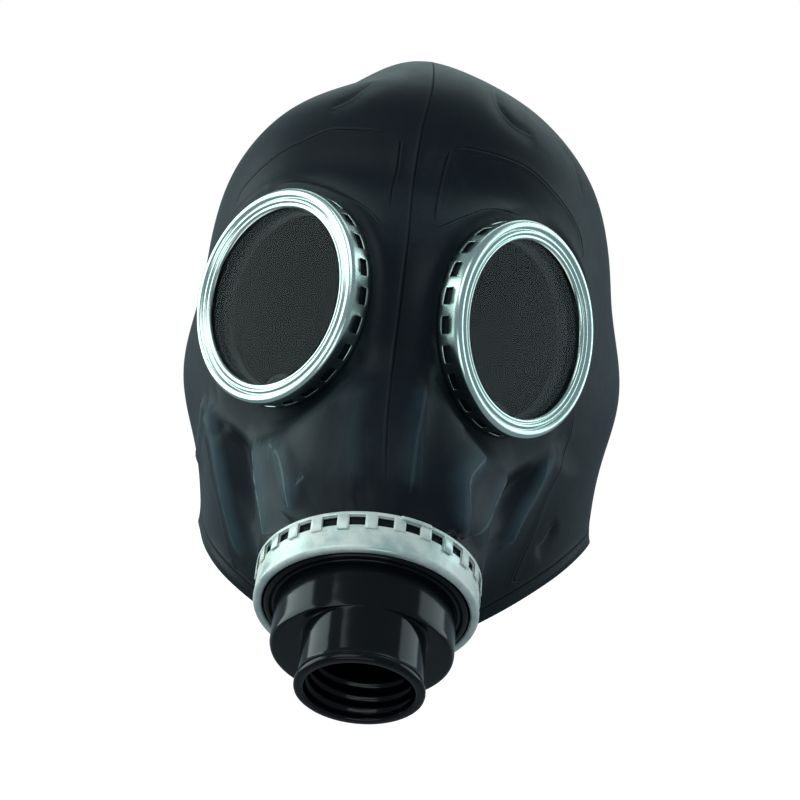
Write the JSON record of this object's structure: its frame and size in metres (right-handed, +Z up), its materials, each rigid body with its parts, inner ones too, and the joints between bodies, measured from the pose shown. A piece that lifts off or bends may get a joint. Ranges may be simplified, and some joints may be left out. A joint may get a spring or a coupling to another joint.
{
  "type": "rubber gas mask hood",
  "caption": "Full-head rubber hood mask with splayed round eyepieces in crimped metal rings and a glossy breathing valve held by a slotted metal clamp ring.",
  "frame": {"origin": "the top of the hollow, on the inside of the crown, where the hood is carried by a head", "axes": "+Z up, -Y the way the mask faces, +X the right of someone looking at its front"},
  "size_m": [0.167, 0.2843, 0.2248],
  "materials": {
    "rubber": "satin moulded rubber with a dusty bloom",
    "ring_metal": "bright rolled sheet",
    "eye_glass": "clear polished glass",
    "clamp_metal": "dull rolled sheet",
    "valve_plastic": "glossy moulded plastic"
  },
  "bodies": {
    "root": {"hood": "rubber", "eye_ring_left": "ring_metal", "eye_ring_right": "ring_metal", "eye_glass_left": "eye_glass", "eye_glass_right": "eye_glass", "duct_tongue_left": "rubber", "duct_tongue_right": "rubber", "valve_clamp_ring": "clamp_metal", "valve_housing": "valve_plastic"}
  },
  "joints": []
}
